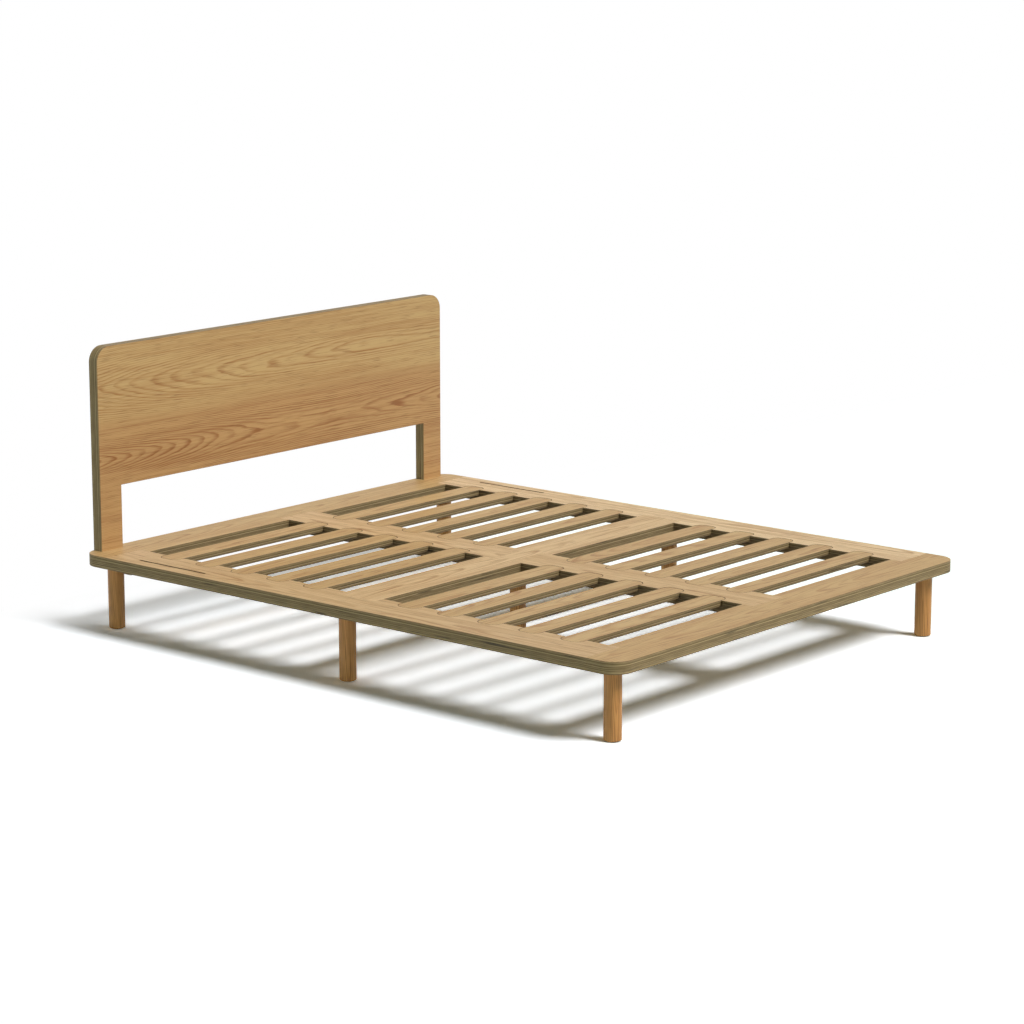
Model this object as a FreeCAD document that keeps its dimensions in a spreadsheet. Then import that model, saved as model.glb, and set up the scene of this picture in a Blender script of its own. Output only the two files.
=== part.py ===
"""Platform bed for a queen mattress: a plywood deck on round oak legs, with a panel headboard.

X runs across the bed, with -X at its left side seen from the foot. Y runs from the foot (-Y) to
the head (+Y), and Z rises from the floor. Lengths are in millimetres.

The deck is seven plywood rails joined by half-laps. A short tongue of each crossing rail lies on
a ledge of the rail that it meets, and bolts from below hold it. Each of the four bays takes loose
slats, whose rounded ends lie in half-depth pockets in the rails, flush with the deck's top.
"""
import FreeCAD, Part
import math
import os
import re

SIZES = (
    # Deck
    ("deck_width", 1650, "width of the deck"),
    ("deck_length", 2070, "length of the deck"),
    ("deck_thickness", 36, "thickness of the deck's plywood"),
    ("deck_clearance", 200, "floor to the deck's underside"),
    ("rail_width", 146, "width of every rail in plan"),
    ("corner_radius", 60, "outer corners of the deck in plan"),
    ("arris_radius", 1.5, "rounding of the handled edges"),
    # Half-lap joints between rails
    ("lap_length", 38, "ledge that a rail's tongue lies on"),
    ("tongue_thickness", 18, "thickness of a rail's tongue"),
    ("joint_gap", 0.2, "clearance round a fixed wood joint"),
    # Slats
    ("slats_per_bay", 5, "slats in each of the four bays"),
    ("slat_width", 73, "width of a slat"),
    ("slat_thickness", 18, "thickness of a slat"),
    ("slat_bearing", 38, "depth of a slat's pocket along the slat"),
    ("slat_corner_radius", 25, "corners of a slat's ends"),
    ("slat_gap", 1.5, "clearance round a slat's ends"),
    # Accessory slots in the side rails
    ("slot_length", 280, "length of an accessory slot"),
    ("slot_width", 8, "width of an accessory slot"),
    ("slot_side_inset", 45, "deck's side edge to the slot's middle"),
    ("slot_head_inset", 210, "deck's head edge to the slot's near end"),
    # Headboard
    ("headboard_side_reach", 23.5, "middle of a head leg to the headboard's side edge"),
    ("headboard_thickness", 36, "thickness of the headboard"),
    ("headboard_rise", 625, "deck's top to the headboard's top"),
    ("headboard_opening", 194, "deck's top to the panel's lower edge"),
    ("headboard_leg_width", 87, "width of a headboard leg"),
    ("headboard_corner_radius", 48, "top corners of the headboard"),
    ("headboard_setback", 3, "headboard's back to the deck's head edge"),
    # Stretcher under the head rail
    ("stretcher_width", 74, "width of the stretcher"),
    ("stretcher_thickness", 36, "thickness of the stretcher"),
    ("stretcher_leg_gap", 2, "stretcher's end to the leg beside it"),
    # Legs
    ("leg_diameter", 50, "diameter of a leg"),
    ("leg_foot_radius", 3, "rounding at the foot of a leg"),
    ("glide_diameter", 38, "diameter of a felt glide"),
    ("glide_thickness", 5, "thickness of a felt glide"),
    ("glide_proud", 2, "height of glide that shows below the leg"),
    ("glide_edge_radius", 1, "rounding of a glide's lower edge"),
    # Fixings
    ("fit_gap", 0.1, "clearance round a fixing, on the radius"),
    ("cut_overrun", 5, "distance a cut runs past the face it opens"),
    ("socket_share", 0.35, "hexagon socket's corner circle over a bolt head's radius"),
    ("leg_stud_diameter", 10, "stud that joins a leg to the deck"),
    ("leg_stud_in_leg", 45, "stud's length in the leg"),
    ("leg_stud_in_deck", 24, "stud's length in the deck"),
    ("leg_insert_diameter", 16, "threaded insert for a leg stud"),
    ("leg_insert_length", 25, "length of a leg insert"),
    ("lap_bolt_diameter", 6, "bolt that holds a half-lap"),
    ("lap_bolt_head_diameter", 12, "countersunk head of a lap bolt"),
    ("lap_bolt_head_height", 3.3, "height of a lap bolt's head"),
    ("lap_bolt_reach", 10, "lap bolt's length in its insert"),
    ("lap_insert_diameter", 9, "threaded insert in a tongue"),
    ("lap_insert_length", 12, "length of a tongue's insert"),
    ("headboard_bolt_diameter", 8, "bolt that holds the headboard"),
    ("headboard_bolt_head_diameter", 16, "cylinder head of a headboard bolt"),
    ("headboard_bolt_head_height", 5, "height of a headboard bolt's head"),
    ("headboard_bolt_reach", 12, "headboard bolt's length in its insert"),
    ("headboard_bolt_spacing", 44, "spacing of the two bolts in one leg"),
    ("headboard_insert_diameter", 12, "threaded insert in the head rail"),
    ("headboard_insert_length", 13, "length of a head rail insert"),
    ("stretcher_screw_diameter", 5, "wood screw through the stretcher"),
    ("stretcher_screw_head_diameter", 10, "countersunk head of a stretcher screw"),
    ("stretcher_screw_head_height", 3, "height of a stretcher screw's head"),
    ("stretcher_screw_bite", 16, "stretcher screw's length in the head rail"),
    ("stretcher_screw_point", 5, "length of a stretcher screw's point"),
)

# Places along a piece, as shares of its length from the middle
LAP_BOLT_SHARES = (-0.3, 0.3)
STRETCHER_SCREW_SHARES = (-0.46, -0.28, -0.1, 0.1, 0.28, 0.46)

# Distance within which two coordinates count as one
PLACE_TOLERANCE = 1e-4

# Heights
DECK_TOP = "(deck_clearance + deck_thickness)"
LEDGE_TOP = "(deck_clearance + deck_thickness - tongue_thickness)"
LEDGE_THICKNESS = "(deck_thickness - tongue_thickness)"
DECK_MIDDLE = "(deck_clearance + deck_thickness / 2)"

# Distances from the middle of the bed in plan
HALF_WIDTH = "(deck_width / 2)"
HALF_LENGTH = "(deck_length / 2)"
HALF_RAIL = "(rail_width / 2)"
BAY_SIDE = "(deck_width / 2 - rail_width)"
BAY_END = "(deck_length / 2 - rail_width)"
SIDE_RAIL_MIDDLE = "((deck_width - rail_width) / 2)"
END_RAIL_MIDDLE = "((deck_length - rail_width) / 2)"
BAY_ROW_MIDDLE = "((deck_length - rail_width) / 4)"

# Spacing of the slats in a bay, and the first slat's middle, counted from the mid rail
BAY_LENGTH = "(deck_length / 2 - rail_width * 3 / 2)"
SLAT_SPACE = f"(({BAY_LENGTH} - slats_per_bay * slat_width) / (slats_per_bay + 1))"
SLAT_PITCH = f"(slat_width + {SLAT_SPACE})"
FIRST_SLAT = f"({HALF_RAIL} + {SLAT_SPACE} + slat_width / 2)"
SLAT_LENGTH = f"({BAY_SIDE} - {HALF_RAIL} + 2 * (slat_bearing - slat_gap))"
SLAT_MIDDLE = f"(({BAY_SIDE} + {HALF_RAIL}) / 2)"

# Headboard and its notches in the head rail
HEADBOARD_BACK = f"({HALF_LENGTH} - headboard_setback)"
HEADBOARD_FRONT = f"({HALF_LENGTH} - headboard_setback - headboard_thickness)"
HEADBOARD_MIDDLE = f"({HALF_LENGTH} - headboard_setback - headboard_thickness / 2)"
HEADBOARD_WIDTH = f"(2 * ({SIDE_RAIL_MIDDLE} + headboard_side_reach))"
HEADBOARD_LEG_MIDDLE = f"(({HEADBOARD_WIDTH} - headboard_leg_width) / 2)"

# Stretcher between the two head legs
STRETCHER_LENGTH = f"(2 * ({SIDE_RAIL_MIDDLE} - leg_diameter / 2 - stretcher_leg_gap))"
STRETCHER_BOTTOM = "(deck_clearance - stretcher_thickness)"

doc = FreeCAD.newDocument("PlatformBed")
sheet = doc.addObject("Spreadsheet::Sheet", "Sizes")
aliases = set()
for row, (alias, number, meaning) in enumerate(SIZES, start=1):
    sheet.set(f"A{row}", meaning)
    sheet.set(f"B{row}", str(number))
    sheet.setAlias(f"B{row}", alias)
    aliases.add(alias)
doc.recompute()

# Finished sub-parts, in the order in which they are made
sub_parts = []


def formula(text):
    """Point each size name in a formula at its cell."""
    def cell(word):
        return f"Sizes.{word[0]}" if word[0] in aliases else word[0]

    return re.sub(r"[a-z_]+", cell, text)


def value(text):
    """The number that a formula gives with the sheet's sizes."""
    return float(sheet.evalExpression(formula(text)))


def bind(target, formulas):
    """Bind properties of an object to formulas of the sheet's sizes."""
    for name, text in formulas.items():
        target.setExpression(name, formula(text))


def bind_place(target, place):
    """Bind an object's position to three formulas."""
    bind(target, {f".Placement.Base.{axis}": text for axis, text in zip("xyz", place)})


def new_body(label):
    """An empty body that becomes one sub-part."""
    body = doc.addObject("PartDesign::Body", label)
    body.Label = label
    return body


def add_feature(body, kind, name, sizes, place, turn=None):
    """Add or cut one primitive; turn is a rotation that the place doesn't change."""
    feature = body.newObject(f"PartDesign::{kind}", f"{body.Name}_{name}")
    if turn:
        feature.Placement = FreeCAD.Placement(FreeCAD.Vector(), turn)
    bind(feature, sizes)
    bind_place(feature, place)
    return feature


def block(body, kind, name, middle, spans):
    """A box from its middle in plan, its underside, and its spans along X, Y and Z."""
    x, y, z = middle
    across, along, up = spans
    place = (f"{x} - {across} / 2", f"{y} - {along} / 2", z)
    return add_feature(body, kind, name, {"Length": across, "Width": along, "Height": up}, place)


def rod(body, kind, name, base, radius, height, turn=None):
    """A cylinder from the middle of its base."""
    return add_feature(body, kind, name, {"Radius": radius, "Height": height}, base, turn)


def taper(body, kind, name, base, radius_base, radius_tip, height):
    """A cone along Z from the middle of its base."""
    sizes = {"Radius1": radius_base, "Radius2": radius_tip, "Height": height}
    return add_feature(body, kind, name, sizes, base)


def socket(body, name, base, head_diameter, depth, turn=None):
    """A hexagon socket cut into a bolt head."""
    sizes = {"Circumradius": f"socket_share * {head_diameter}", "Height": depth}
    return add_feature(body, "SubtractivePrism", name, sizes, base, turn)


def row_along_y(body, feature, name, pitch, count, sign):
    """Repeat a cut along the body's Y axis, in the direction of sign."""
    pattern = body.newObject("PartDesign::LinearPattern", f"{body.Name}_{name}")
    y_axis = next(item for item in body.Origin.OriginFeatures if item.Role == "Y_Axis")
    pattern.Originals = [feature]
    pattern.Direction = (y_axis, [""])
    pattern.Reversed = sign < 0
    pattern.Mode = "Spacing"
    bind(pattern, {"Offset": pitch, "Occurrences": count})
    body.Tip = pattern
    return pattern


def same(first, second):
    """Whether two coordinates agree."""
    return math.isclose(first, second, abs_tol=PLACE_TOLERANCE)


def round_edges(body, name, radius, wanted):
    """Round the edges of the body so far for which wanted(edge, start, end) is true."""
    doc.recompute()
    base = body.Tip
    names = []
    for number, edge in enumerate(base.Shape.Edges, start=1):
        start = edge.valueAt(edge.FirstParameter)
        end = edge.valueAt(edge.LastParameter)
        if wanted(edge, start, end):
            names.append(f"Edge{number}")
    if not names:
        raise RuntimeError(f"{body.Label}: no edges found for {name}")
    fillet = body.newObject("PartDesign::Fillet", f"{body.Name}_{name}")
    fillet.Base = (base, names)
    bind(fillet, {"Radius": radius})
    body.Tip = fillet
    return fillet


def upright(start, end):
    """Whether an edge stands along Z."""
    return same(start.x, end.x) and same(start.y, end.y) and not same(start.z, end.z)


def level_at(height):
    """A test for the edges that lie at one height."""
    def wanted(edge, start, end):
        return same(start.z, height) and same(end.z, height)

    return wanted


def finish(item):
    """Keep an object as a sub-part."""
    sub_parts.append(item)
    return item


def group(label, master, places):
    """One sub-part of separate solids: copies of a master body at several places."""
    copies = []
    for number, place in enumerate(places, start=1):
        copy = doc.addObject("App::Link", f"{label}_{number}")
        copy.LinkedObject = master
        copy.LinkTransform = False
        bind_place(copy, place)
        copies.append(copy)
    compound = doc.addObject("Part::Compound", label)
    compound.Label = label
    compound.Links = copies
    return finish(compound)


def outline_distance(point):
    """Signed distance in plan from a point to the deck's rounded outline."""
    radius = value("corner_radius")
    past_x = abs(point.x) - value(HALF_WIDTH) + radius
    past_y = abs(point.y) - value(HALF_LENGTH) + radius
    outside = math.hypot(max(past_x, 0), max(past_y, 0))
    return outside + min(max(past_x, past_y), 0) - radius


def round_outline_arris(body):
    """Round a rail's upper and lower edges along the deck's outline."""
    faces = (value(DECK_TOP), value("deck_clearance"))

    def wanted(edge, start, end):
        level = any(same(start.z, face) and same(end.z, face) for face in faces)
        middle = edge.valueAt((edge.FirstParameter + edge.LastParameter) / 2)
        return level and all(same(outline_distance(point), 0) for point in (start, middle, end))

    round_edges(body, "outline_arris", "arris_radius", wanted)


# Half-lap joints

def lap_bolt_holes(body, joint, middle, direction):
    """Countersunk holes through a ledge, spread along X or Y."""
    for number, place in enumerate(lap_bolt_places(middle, direction), start=1):
        base = (*place, "deck_clearance - cut_overrun")
        height = f"{LEDGE_THICKNESS} + 2 * cut_overrun"
        radius = "lap_bolt_diameter / 2 + fit_gap"
        rod(body, "SubtractiveCylinder", f"{joint}_bolt_{number}", base, radius, height)
        seat = (*place, "deck_clearance")
        mouth = "lap_bolt_head_diameter / 2 + fit_gap"
        depth = "lap_bolt_head_height"
        taper(body, "SubtractiveCone", f"{joint}_sink_{number}", seat, mouth, radius, depth)


def lap_insert_holes(body, joint, middle, direction):
    """Blind holes in the underside of a tongue."""
    for number, place in enumerate(lap_bolt_places(middle, direction), start=1):
        base = (*place, f"{LEDGE_TOP} - cut_overrun")
        height = "cut_overrun + lap_insert_length + fit_gap"
        radius = "lap_insert_diameter / 2 + fit_gap"
        rod(body, "SubtractiveCylinder", f"{joint}_insert_{number}", base, radius, height)


def lap_bolt_places(middle, direction):
    """Plan places of a joint's bolts."""
    x, y = middle
    spread = [f"{share} * rail_width" for share in LAP_BOLT_SHARES]
    if direction == "x":
        return [(f"{x} + {step}", y) for step in spread]
    return [(x, f"{y} + {step}") for step in spread]


def lap_pocket(body, joint, middle, direction, edge_x=0):
    """Cut a ledge: the upper half of a rail, where a crossing rail's tongue lies.

    middle is the ledge's middle in plan, and direction is the way that its width runs. edge_x is -1
    or 1 where the ledge runs out through the deck's left or right edge.
    """
    x, y = middle
    width = "rail_width + 2 * joint_gap"
    if edge_x:
        width = "rail_width + joint_gap + cut_overrun"
        x = f"{x} + {edge_x} * (cut_overrun - joint_gap) / 2"
    across = (f"({width})", "lap_length") if direction == "x" else ("lap_length", f"({width})")
    height = "(tongue_thickness + cut_overrun)"
    block(body, "SubtractiveBox", f"{joint}_ledge", (x, y, LEDGE_TOP), (*across, height))
    lap_bolt_holes(body, joint, middle, direction)


def tongue_rebate(body, joint, middle, direction):
    """Cut away the lower half of a rail's end, which leaves its tongue."""
    x, y = middle
    width = "(rail_width + 2 * cut_overrun)"
    across = (width, "lap_length") if direction == "x" else ("lap_length", width)
    height = f"({LEDGE_THICKNESS} + cut_overrun)"
    base = "deck_clearance - cut_overrun"
    block(body, "SubtractiveBox", f"{joint}_rebate", (x, y, base), (*across, height))
    lap_insert_holes(body, joint, middle, direction)


# Middles of the ledges in plan, by joint, with the way that each ledge's width runs
END_LEDGE = f"({BAY_END} + lap_length / 2)"
SIDE_LEDGE = f"({BAY_SIDE} + lap_length / 2)"
MID_LEDGE = f"({HALF_RAIL} - lap_length / 2)"
SIDES = {"left": -1, "right": 1}
ENDS = {"foot": -1, "head": 1}

lap_joints = []


def join_laps(lower, upper, joint, middle, direction, edge_x=0):
    """Cut both halves of one lap joint and note where its bolts go."""
    lap_pocket(lower, joint, middle, direction, edge_x)
    tongue_rebate(upper, joint, middle, direction)
    lap_joints.append((middle, direction))


# Rails: each blank is as long as its tongues reach

def make_rail(label, middle, spans):
    """A rail's blank, as thick as the deck."""
    body = new_body(label)
    block(body, "AdditiveBox", "blank", (*middle, "deck_clearance"), (*spans, "deck_thickness"))
    return body


TONGUE_REACH = "(lap_length - joint_gap)"
end_rails = {}
for end, sign in ENDS.items():
    place = ("0", f"{sign} * {END_RAIL_MIDDLE}")
    end_rails[end] = make_rail(f"{end}_rail", place, ("deck_width", "rail_width"))

side_rails = {}
for side, sign in SIDES.items():
    length = f"(2 * ({BAY_END} + {TONGUE_REACH}))"
    place = (f"{sign} * {SIDE_RAIL_MIDDLE}", "0")
    side_rails[side] = make_rail(f"{side}_side_rail", place, ("rail_width", length))

length = f"(2 * ({BAY_SIDE} + {TONGUE_REACH}))"
mid_rail = make_rail("mid_rail", ("0", "0"), (length, "rail_width"))

centre_rails = {}
for end, sign in ENDS.items():
    length = f"({BAY_LENGTH} + 2 * {TONGUE_REACH})"
    place = ("0", f"{sign} * {BAY_ROW_MIDDLE}")
    centre_rails[end] = make_rail(f"centre_rail_{end}", place, ("rail_width", length))


def round_outer_corners(rail, sign):
    """Round the deck's two corners at one end."""
    corner_x = value(HALF_WIDTH)
    corner_y = sign * value(HALF_LENGTH)

    def outer_corner(edge, start, end):
        return upright(start, end) and same(abs(start.x), corner_x) and same(start.y, corner_y)

    round_edges(rail, "corners", "corner_radius", outer_corner)


for end, sign in ENDS.items():
    round_outer_corners(end_rails[end], sign)

# The ten half-laps of the deck
for end, end_sign in ENDS.items():
    for side, side_sign in SIDES.items():
        middle = (f"{side_sign} * {SIDE_RAIL_MIDDLE}", f"{end_sign} * {END_LEDGE}")
        join_laps(end_rails[end], side_rails[side], f"{end}_{side}", middle, "x", side_sign)
    middle = ("0", f"{end_sign} * {END_LEDGE}")
    join_laps(end_rails[end], centre_rails[end], f"{end}_centre", middle, "x")
    middle = ("0", f"{end_sign} * {MID_LEDGE}")
    join_laps(mid_rail, centre_rails[end], f"mid_{end}", middle, "x")
for side, side_sign in SIDES.items():
    join_laps(side_rails[side], mid_rail, f"mid_{side}", (f"{side_sign} * {SIDE_LEDGE}", "0"), "y")


# Slat pockets

def slat_pockets(body, name, face, inward, end_sign):
    """A row of half-depth pockets in a rail's long face at X = face.

    inward is the sign of the direction from that face into the rail.
    """
    x = f"{face} + {inward} * (slat_bearing - cut_overrun) / 2"
    y = f"{end_sign} * {FIRST_SLAT}"
    z = f"{DECK_TOP} - slat_thickness"
    spans = (
        "(slat_bearing + cut_overrun)",
        "(slat_width + 2 * slat_gap)",
        "(slat_thickness + cut_overrun)",
    )
    first = block(body, "SubtractiveBox", f"{name}_pocket", (x, y, z), spans)
    row_along_y(body, first, f"{name}_pockets", SLAT_PITCH, "slats_per_bay", end_sign)
    bottom = value(f"{face} + {inward} * slat_bearing")
    row_start = value(f"{HALF_RAIL} + {SLAT_SPACE} / 2")
    row_end = value(f"{BAY_END} - {SLAT_SPACE} / 2")

    def pocket_corner(edge, start, end):
        in_row = row_start < end_sign * start.y < row_end
        return upright(start, end) and same(start.x, bottom) and in_row

    round_edges(body, f"{name}_pocket_corners", "slat_corner_radius + slat_gap", pocket_corner)


for end, end_sign in ENDS.items():
    for side, side_sign in SIDES.items():
        slat_pockets(side_rails[side], end, f"{side_sign} * {BAY_SIDE}", side_sign, end_sign)
        slat_pockets(centre_rails[end], side, f"{side_sign} * {HALF_RAIL}", -side_sign, end_sign)


# Accessory slots: a hook-on shelf or table drops into each

def accessory_slot(body, side_sign):
    """A narrow through slot with round ends, along the side rail."""
    x = f"{side_sign} * ({HALF_WIDTH} - slot_side_inset)"
    y = f"({HALF_LENGTH} - slot_head_inset - slot_length / 2)"
    base = "deck_clearance - cut_overrun"
    height = "(deck_thickness + 2 * cut_overrun)"
    straight = "(slot_length - slot_width)"
    block(body, "SubtractiveBox", "slot", (x, y, base), ("slot_width", straight, height))
    for number, step in enumerate((-1, 1), start=1):
        place = (x, f"{y} + {step} * {straight} / 2", base)
        rod(body, "SubtractiveCylinder", f"slot_end_{number}", place, "slot_width / 2", height)


for side, side_sign in SIDES.items():
    accessory_slot(side_rails[side], side_sign)


# Legs, one under each crossing of the rails apart from the middles of the head and foot rails

def leg_hole(body, name, place):
    """A blind hole for a leg's threaded insert, in the deck's underside."""
    base = (*place, "deck_clearance - cut_overrun")
    height = "cut_overrun + leg_insert_length + fit_gap"
    radius = "leg_insert_diameter / 2 + fit_gap"
    rod(body, "SubtractiveCylinder", f"{name}_hole", base, radius, height)


leg_places = {}
leg_carriers = {}
for end, end_sign in ENDS.items():
    for side, side_sign in SIDES.items():
        name = f"{end}_{side}"
        leg_places[name] = (f"{side_sign} * {SIDE_RAIL_MIDDLE}", f"{end_sign} * {END_RAIL_MIDDLE}")
        leg_carriers[name] = end_rails[end]
for side, side_sign in SIDES.items():
    leg_places[f"mid_{side}"] = (f"{side_sign} * {SIDE_RAIL_MIDDLE}", "0")
    leg_carriers[f"mid_{side}"] = side_rails[side]
leg_places["mid_centre"] = ("0", "0")
leg_carriers["mid_centre"] = mid_rail


def make_leg(name, place):
    """A turned leg with a recess for its glide and a hole for its stud."""
    body = new_body(f"leg_{name}")
    height = "(deck_clearance - glide_proud)"
    rod(body, "AdditiveCylinder", "turning", (*place, "glide_proud"), "leg_diameter / 2", height)
    round_edges(body, "foot", "leg_foot_radius", level_at(value("glide_proud")))
    recess = "glide_thickness - glide_proud + cut_overrun"
    base = (*place, "glide_proud - cut_overrun")
    rod(body, "SubtractiveCylinder", "glide_recess", base, "glide_diameter / 2 + fit_gap", recess)
    hole = "(leg_stud_in_leg + fit_gap)"
    base = (*place, f"deck_clearance - {hole}")
    radius = "leg_stud_diameter / 2 + fit_gap"
    rod(body, "SubtractiveCylinder", "stud_hole", base, radius, f"{hole} + cut_overrun")
    return finish(body)


for name, place in leg_places.items():
    leg_hole(leg_carriers[name], f"leg_{name}", place)


# Headboard: two legs stand in notches at the back of the head rail, held by bolts from behind

BOLT_TURN = FreeCAD.Rotation(FreeCAD.Vector(1, 0, 0), -90)
headboard_bolt_places = []
for side_sign in SIDES.values():
    for step in (-1, 1):
        x = f"{side_sign} * {HEADBOARD_LEG_MIDDLE} + {step} * headboard_bolt_spacing / 2"
        headboard_bolt_places.append(x)


def headboard_notches(body):
    """Notches for the headboard's legs, with holes for the threaded inserts."""
    for side, side_sign in SIDES.items():
        x = f"{side_sign} * {HEADBOARD_LEG_MIDDLE}"
        depth = "(headboard_setback + headboard_thickness + cut_overrun)"
        y = f"{HEADBOARD_FRONT} + {depth} / 2"
        width = "(headboard_leg_width + 2 * joint_gap)"
        height = "(deck_thickness + 2 * cut_overrun)"
        base = (x, y, "deck_clearance - cut_overrun")
        block(body, "SubtractiveBox", f"notch_{side}", base, (width, depth, height))
    for number, x in enumerate(headboard_bolt_places, start=1):
        height = "headboard_insert_length + fit_gap + cut_overrun"
        base = (x, f"{HEADBOARD_FRONT} - headboard_insert_length - fit_gap", DECK_MIDDLE)
        radius = "headboard_insert_diameter / 2 + fit_gap"
        rod(body, "SubtractiveCylinder", f"insert_hole_{number}", base, radius, height, BOLT_TURN)


def make_headboard():
    """One plywood panel cut to a wide arch, with rounded top corners."""
    body = new_body("headboard")
    height = "(deck_thickness + headboard_rise)"
    middle = ("0", HEADBOARD_MIDDLE, "deck_clearance")
    block(body, "AdditiveBox", "panel", middle, (HEADBOARD_WIDTH, "headboard_thickness", height))
    opening = (
        f"({HEADBOARD_WIDTH} - 2 * headboard_leg_width)",
        "(headboard_thickness + 2 * cut_overrun)",
        "(deck_thickness + headboard_opening + cut_overrun)",
    )
    base = ("0", HEADBOARD_MIDDLE, "deck_clearance - cut_overrun")
    block(body, "SubtractiveBox", "opening", base, opening)
    top = value(f"{DECK_TOP} + headboard_rise")
    half_width = value(f"{HEADBOARD_WIDTH} / 2")
    faces = (value(HEADBOARD_FRONT), value(HEADBOARD_BACK))

    def top_corner(edge, start, end):
        across = same(start.x, end.x) and same(start.z, top) and same(end.z, top)
        return across and same(abs(start.x), half_width)

    def face_edge(edge, start, end):
        on_face = any(same(start.y, face) and same(end.y, face) for face in faces)
        at_foot = same(start.z, value("deck_clearance")) and same(end.z, start.z)
        return on_face and not at_foot

    round_edges(body, "top_corners", "headboard_corner_radius", top_corner)
    round_edges(body, "arris", "arris_radius", face_edge)
    for number, x in enumerate(headboard_bolt_places, start=1):
        base = (x, f"{HEADBOARD_FRONT} - cut_overrun", DECK_MIDDLE)
        length = "headboard_thickness + 2 * cut_overrun"
        radius = "headboard_bolt_diameter / 2 + fit_gap"
        rod(body, "SubtractiveCylinder", f"bolt_hole_{number}", base, radius, length, BOLT_TURN)
        seat = (x, f"{HEADBOARD_BACK} - headboard_bolt_head_height", DECK_MIDDLE)
        depth = "headboard_bolt_head_height + cut_overrun"
        bore = "headboard_bolt_head_diameter / 2 + fit_gap"
        rod(body, "SubtractiveCylinder", f"counterbore_{number}", seat, bore, depth, BOLT_TURN)
    return body


headboard_notches(end_rails["head"])


# Stretcher: stiffens the head rail, which has no leg at its middle

def stretcher_screw_places():
    """Plan places of the stretcher's screws."""
    return [(f"{share} * {STRETCHER_LENGTH}", END_RAIL_MIDDLE) for share in STRETCHER_SCREW_SHARES]


def make_stretcher():
    """A plywood batten screwed up into the head rail, between the two head legs."""
    body = new_body("head_stretcher")
    middle = ("0", END_RAIL_MIDDLE, STRETCHER_BOTTOM)
    spans = (STRETCHER_LENGTH, "stretcher_width", "stretcher_thickness")
    block(body, "AdditiveBox", "batten", middle, spans)
    round_edges(body, "arris", "arris_radius", level_at(value(STRETCHER_BOTTOM)))
    for number, place in enumerate(stretcher_screw_places(), start=1):
        base = (*place, f"{STRETCHER_BOTTOM} - cut_overrun")
        radius = "stretcher_screw_diameter / 2 + fit_gap"
        length = "stretcher_thickness + 2 * cut_overrun"
        rod(body, "SubtractiveCylinder", f"screw_hole_{number}", base, radius, length)
        seat = (*place, STRETCHER_BOTTOM)
        mouth = "stretcher_screw_head_diameter / 2 + fit_gap"
        depth = "stretcher_screw_head_height"
        taper(body, "SubtractiveCone", f"screw_sink_{number}", seat, mouth, radius, depth)
    return body


def stretcher_pilot_holes(body):
    """Holes in the head rail's underside for the stretcher's screws."""
    for number, place in enumerate(stretcher_screw_places(), start=1):
        base = (*place, "deck_clearance - cut_overrun")
        height = "cut_overrun + stretcher_screw_bite + fit_gap"
        radius = "stretcher_screw_diameter / 2 + fit_gap"
        rod(body, "SubtractiveCylinder", f"pilot_hole_{number}", base, radius, height)


stretcher_pilot_holes(end_rails["head"])

# Rounded arrises along the deck's outline, then the rails in the order of the list of pieces
for rail in (*end_rails.values(), *side_rails.values()):
    round_outline_arris(rail)
for rail in (*end_rails.values(), *side_rails.values(), mid_rail, *centre_rails.values()):
    finish(rail)

finish(make_headboard())
finish(make_stretcher())
for name, place in leg_places.items():
    make_leg(name, place)


# Slats

def make_slat(label, middle):
    """A loose slat with rounded ends and a softened upper arris."""
    body = new_body(label)
    base = (*middle, f"{DECK_TOP} - slat_thickness")
    block(body, "AdditiveBox", "strip", base, (SLAT_LENGTH, "slat_width", "slat_thickness"))
    round_edges(body, "ends", "slat_corner_radius", lambda edge, start, end: upright(start, end))
    round_edges(body, "arris", "arris_radius", level_at(value(DECK_TOP)))
    return finish(body)


for end, end_sign in ENDS.items():
    for side, side_sign in SIDES.items():
        for number in range(int(value("slats_per_bay"))):
            y = f"{end_sign} * ({FIRST_SLAT} + {number} * {SLAT_PITCH})"
            make_slat(f"slat_{end}_{side}_{number + 1}", (f"{side_sign} * {SLAT_MIDDLE}", y))


# Fixings: one master of each kind at the origin, copied to its places

def sleeve(label, diameter, length, bore, turn=None):
    """A threaded insert, shown as a plain sleeve."""
    body = new_body(f"{label}_master")
    origin = ("0", "0", "0")
    rod(body, "AdditiveCylinder", "sleeve", origin, f"{diameter} / 2", length, turn)
    rod(body, "SubtractiveCylinder", "bore", origin, f"{bore} / 2 + fit_gap", length, turn)
    return body


def countersunk(label, diameter, head_diameter, head_height, length, point=None):
    """A screw or bolt that points up, with a hexagon socket in its flush head."""
    body = new_body(f"{label}_master")
    origin = ("0", "0", "0")
    taper(body, "AdditiveCone", "head", origin, f"{head_diameter} / 2", f"{diameter} / 2", head_height)
    shank = f"({length} - {point})" if point else length
    rod(body, "AdditiveCylinder", "shank", origin, f"{diameter} / 2", shank)
    if point:
        taper(body, "AdditiveCone", "point", ("0", "0", shank), f"{diameter} / 2", "0", point)
    socket(body, "socket", origin, f"{head_diameter} / 2", f"{head_height} / 2")
    return body


def headboard_bolt():
    """A cylinder-head bolt that points towards the foot of the bed, from the seat of its head."""
    body = new_body("headboard_bolt_master")
    length = "(headboard_thickness - headboard_bolt_head_height + headboard_bolt_reach)"
    tip = ("0", f"-{length}", "0")
    rod(body, "AdditiveCylinder", "shank", tip, "headboard_bolt_diameter / 2", length, BOLT_TURN)
    origin = ("0", "0", "0")
    head = "headboard_bolt_head_diameter / 2"
    rod(body, "AdditiveCylinder", "head", origin, head, "headboard_bolt_head_height", BOLT_TURN)
    depth = "headboard_bolt_head_height / 2"
    socket(body, "socket", ("0", depth, "0"), head, depth, BOLT_TURN)
    return body


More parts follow.
